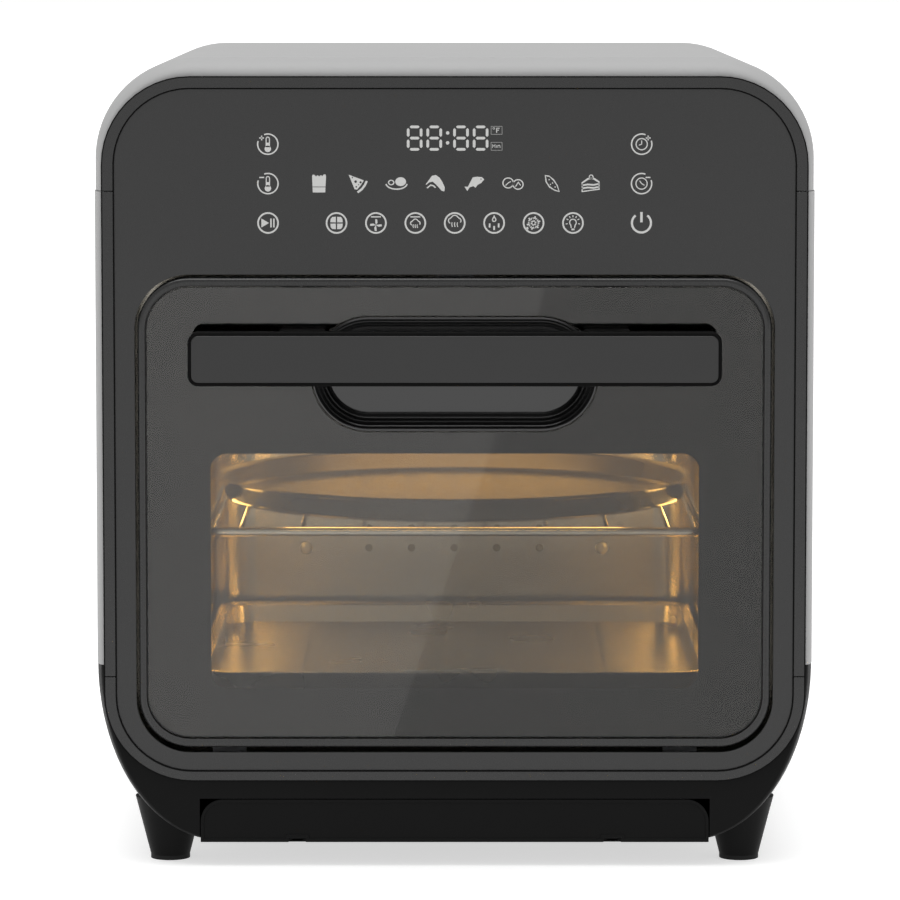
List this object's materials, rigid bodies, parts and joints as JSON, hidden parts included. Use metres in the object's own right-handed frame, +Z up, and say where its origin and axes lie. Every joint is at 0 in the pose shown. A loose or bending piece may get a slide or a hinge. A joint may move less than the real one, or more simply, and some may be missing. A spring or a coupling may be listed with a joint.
{
  "type": "toaster oven",
  "caption": "Upright countertop oven with a drop-down glass door, bar handle, touch fascia, wire rack, pans, drip tray and rounded silver casing.",
  "frame": {"origin": "on the floor, under the middle of the overall box", "axes": "+Z up, +Y from the door to the rear, +X to the right of someone facing the door"},
  "size_m": [0.336, 0.3662, 0.3795],
  "materials": {
    "silver_paint": "satin",
    "black_hull": "satin",
    "black_trim": "semi-gloss",
    "fascia_dark": "satin",
    "door_glass": "tinted, polished",
    "clear_glass": "polished",
    "handle_dark": "satin",
    "cavity_steel": "satin",
    "bright_wire": "polished",
    "dark_pan": "non-stick",
    "zinc_steel": "plain",
    "heater_sheath": "heat-darkened",
    "white_ceramic": "matt",
    "circuit_board": "satin",
    "black_rubber": "matt",
    "grey_fibre": "fibrous",
    "fan_alloy": "plain"
  },
  "bodies": {
    "casing": {"top_cover": "silver_paint", "side_panel_left": "silver_paint", "side_panel_right": "silver_paint", "base_hull": "black_hull", "feet": "black_hull", "rear_cover": "black_hull", "rear_spacers": "black_hull", "drip_rails": "black_hull", "trim_top": "black_trim", "trim_bottom": "black_trim", "trim_left": "black_trim", "trim_right": "black_trim", "front_fascia": "fascia_dark", "lamp_lens": "clear_glass", "lamp_bulb": "clear_glass", "cavity_wrap": "cavity_steel", "cavity_floor_plate": "cavity_steel", "cavity_ceiling": "cavity_steel", "ceiling_grille": "cavity_steel", "front_frame": "cavity_steel", "rear_screws": "zinc_steel", "hinge_brackets": "zinc_steel", "fan_shroud": "zinc_steel", "motor_bracket": "zinc_steel", "fan_motor": "zinc_steel", "catch_keeper": "zinc_steel", "temperature_probe": "zinc_steel", "upper_heater": "heater_sheath", "lower_heaters": "heater_sheath", "heater_ends": "white_ceramic", "lamp_socket": "white_ceramic", "control_board": "circuit_board", "power_board": "circuit_board", "door_gasket": "black_rubber", "foot_pads": "black_rubber", "cord_gland": "black_rubber", "display_module": "black_rubber", "door_switch": "black_rubber", "insulation": "grey_fibre"},
    "door": {"door_frame": "black_trim", "door_glass_outer": "door_glass", "finger_recess": "black_trim", "handle_bar": "handle_dark", "handle_posts": "black_trim", "handle_screws": "zinc_steel", "door_inner_panel": "cavity_steel", "door_glass_inner": "clear_glass", "door_catch": "zinc_steel", "hinge_pins": "zinc_steel"},
    "rack": {"rack_frame": "bright_wire", "rack_wires": "bright_wire", "round_pan": "dark_pan"},
    "bake": {"bake_tray": "dark_pan"},
    "drip": {"drip_tray": "zinc_steel", "drip_tray_front": "black_hull"},
    "fan": {"convection_fan": "fan_alloy", "cooling_fan": "fan_alloy", "fan_shaft": "zinc_steel"}
  },
  "joints": [
    {"name": "door_hinge", "type": "hinge", "parent": "casing", "child": "door", "pos_m": [0, -0.15495, 0.0588], "axis": [1, 0, 0], "range_deg": [0, 90]},
    {"name": "rack_slide", "type": "slide", "parent": "casing", "child": "rack", "axis": [0, -1, 0], "range_m": [0, 0.126]},
    {"name": "bake_tray_slide", "type": "slide", "parent": "casing", "child": "bake", "axis": [0, -1, 0], "range_m": [0, 0.0285]},
    {"name": "drip_tray_slide", "type": "slide", "parent": "casing", "child": "drip", "axis": [0, -1, 0], "range_m": [0, 0.24]},
    {"name": "fan_spin", "type": "hinge", "parent": "casing", "child": "fan", "pos_m": [0, 0.01115, 0.32], "axis": [0, 0, 1], "continuous": true}
  ],
  "couplings": [
    {"joint": "rack_slide", "follows": "door_hinge", "m_per_rad": 0.08},
    {"joint": "bake_tray_slide", "follows": "door_hinge", "m_per_rad": 0.018}
  ]
}
